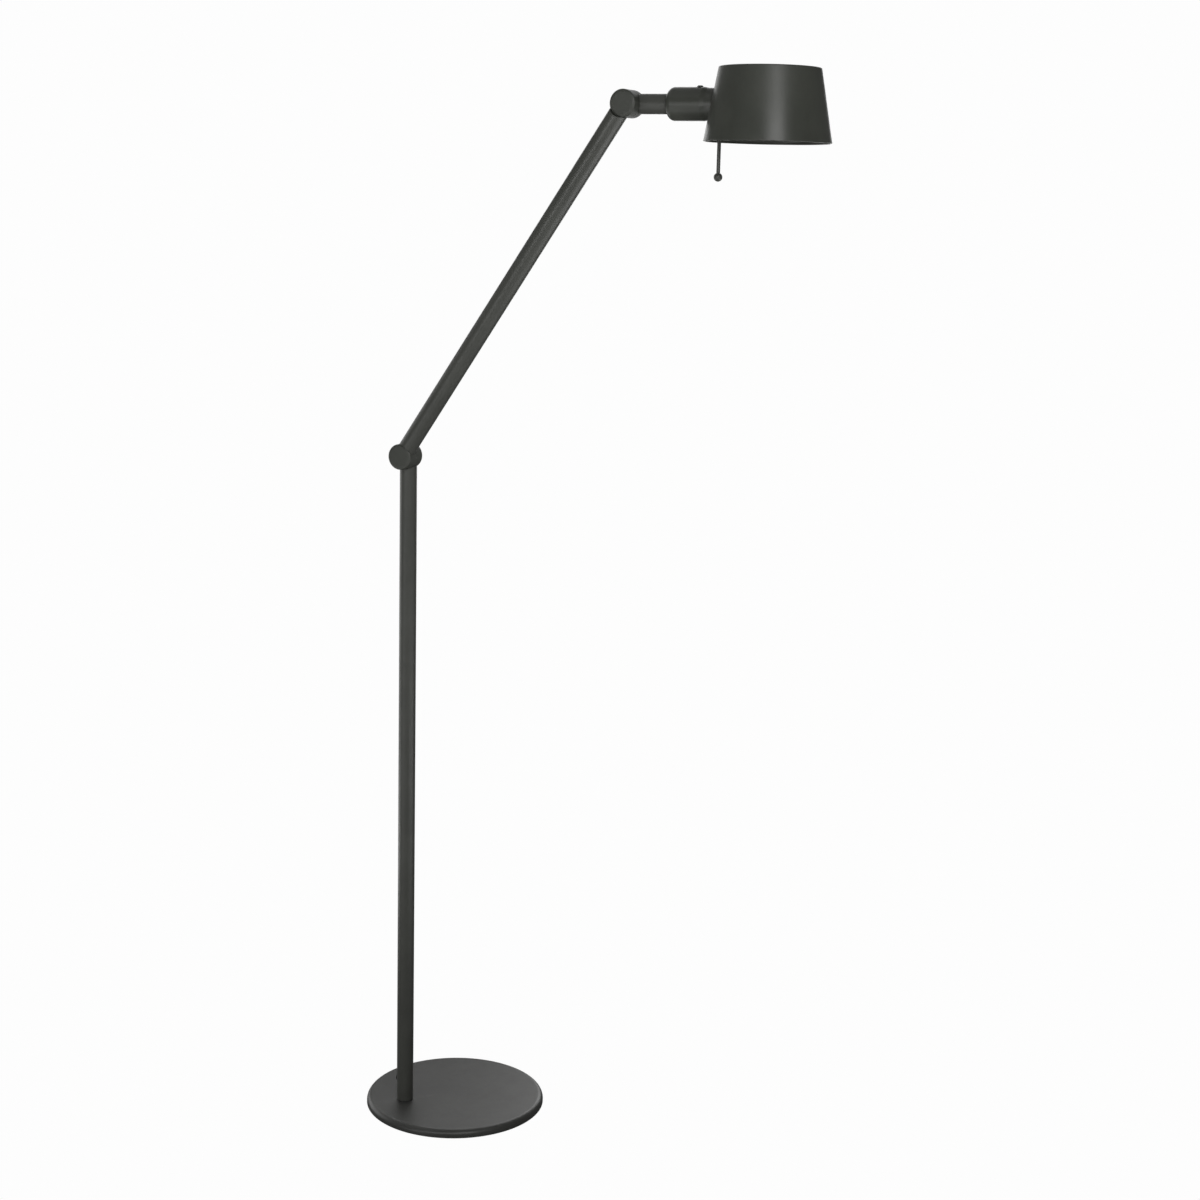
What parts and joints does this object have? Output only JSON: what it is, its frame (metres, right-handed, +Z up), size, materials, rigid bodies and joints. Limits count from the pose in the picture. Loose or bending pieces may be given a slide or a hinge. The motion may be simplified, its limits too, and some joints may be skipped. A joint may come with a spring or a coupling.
{
  "type": "adjustable arm floor lamp",
  "caption": "Floor lamp with a round weighted base, an off-centre swivelling pole, a tilting arm, and a conical shade on a rolling side neck.",
  "frame": {"origin": "centre of the base's felt underside, on the floor", "axes": "+Z up; the arm swings in a plane parallel to XZ and leans to +X as stored; both knuckles turn about lines parallel to +Y"},
  "size_m": [0.6982, 0.2775, 1.5523],
  "materials": {
    "steel_coat": "dark anthracite-olive powder coat on steel tube and sheet, satin",
    "aluminium_coat": "dark anthracite-olive powder coat on cast or spun aluminium, satin",
    "plated_steel": "zinc plated",
    "spring_steel": "bare spring steel",
    "cast_iron": "bare casting, turned faces",
    "felt": "pressed felt, self-adhesive",
    "nylon": "black nylon",
    "rubber": "soft black rubber",
    "brass": "turned brass",
    "bakelite": "black phenolic moulding",
    "white_moulding": "white insulating moulding",
    "opal": "opal polycarbonate, satin",
    "lead_insulation": "black insulated two-core lead",
    "aluminium_bare": "bare rolled aluminium",
    "screw_coat": "steel screw coated to match the lamp"
  },
  "bodies": {
    "base": {"base_cover": "steel_coat", "ballast_disc": "cast_iron", "base_felt": "felt", "foot_washer": "nylon", "foot_stop_pin": "plated_steel"},
    "pole": {"pole_tube": "steel_coat", "foot_plug": "plated_steel", "foot_spring_washer": "spring_steel", "foot_lock_nut": "plated_steel", "cord_grommet": "rubber", "pole_knuckle": "aluminium_coat", "pole_knuckle_cap": "aluminium_coat", "lower_spindle": "brass", "lower_friction_washer": "nylon", "lower_fixed_nut": "plated_steel", "lower_spring_washer": "spring_steel", "lower_lock_nut": "plated_steel", "lower_stop_pin": "plated_steel", "pole_lead": "lead_insulation"},
    "arm": {"arm_tube": "steel_coat", "arm_lower_knuckle": "aluminium_coat", "arm_lower_knuckle_cap": "aluminium_coat", "arm_upper_knuckle": "aluminium_coat", "arm_upper_knuckle_cap": "aluminium_coat", "upper_spindle": "brass", "upper_friction_washer": "nylon", "upper_fixed_nut": "plated_steel", "upper_spring_washer": "spring_steel", "upper_lock_nut": "plated_steel", "upper_stop_pin": "plated_steel", "arm_lead": "lead_insulation"},
    "neck": {"neck_tube": "steel_coat", "neck_knuckle": "aluminium_coat", "neck_knuckle_cap": "aluminium_coat", "neck_plug": "plated_steel", "head_spindle": "brass", "head_friction_washer": "nylon", "head_spring_washer": "spring_steel", "head_lock_nut": "plated_steel", "head_stop_pin": "plated_steel", "neck_lead": "lead_insulation"},
    "head": {"head_housing": "aluminium_coat", "clamp_screw": "screw_coat", "lampholder_sleeve": "bakelite", "lampholder_insert": "white_moulding", "centre_contact": "brass", "shade_collar": "aluminium_coat", "shade_saddle": "nylon", "shade_ring": "bakelite", "shade": "aluminium_coat", "bulb_cap": "aluminium_bare", "bulb_body": "white_moulding", "bulb_globe": "opal", "switch_body": "bakelite", "switch_spring": "spring_steel", "head_lead": "lead_insulation"},
    "switch_plunger": {"switch_plunger": "plated_steel", "rod_pin": "plated_steel"},
    "pull_rod": {"pull_rod": "steel_coat", "pull_ball": "steel_coat"}
  },
  "joints": [
    {"name": "pole_swivel", "type": "hinge", "parent": "base", "child": "pole", "pos_m": [-0.057, -0.057, 0.012], "axis": [0, 0, 1], "range_deg": [-95, 185]},
    {"name": "lower_elbow", "type": "hinge", "parent": "pole", "child": "arm", "pos_m": [-0.057, -0.0662, 1.01], "axis": [0, 1, 0], "range_deg": [-84, 75]},
    {"name": "upper_elbow", "type": "hinge", "parent": "arm", "child": "neck", "pos_m": [0.28068, -0.0662, 1.50595], "axis": [0, 1, 0], "range_deg": [-80, 58]},
    {"name": "head_roll", "type": "hinge", "parent": "neck", "child": "head", "pos_m": [0.33768, -0.057, 1.50595], "axis": [1, 0, 0], "range_deg": [-120, 120]},
    {"name": "switch_pull", "type": "slide", "parent": "head", "child": "switch_plunger", "axis": [0, 0, -1], "range_m": [0, 0.004], "stiffness_N_per_m": 900, "deforming": ["switch_spring"]},
    {"name": "rod_swing", "type": "hinge", "parent": "switch_plunger", "child": "pull_rod", "pos_m": [0.41018, -0.057, 1.46795], "axis": [0, 1, 0], "range_deg": [-30, 30]}
  ]
}
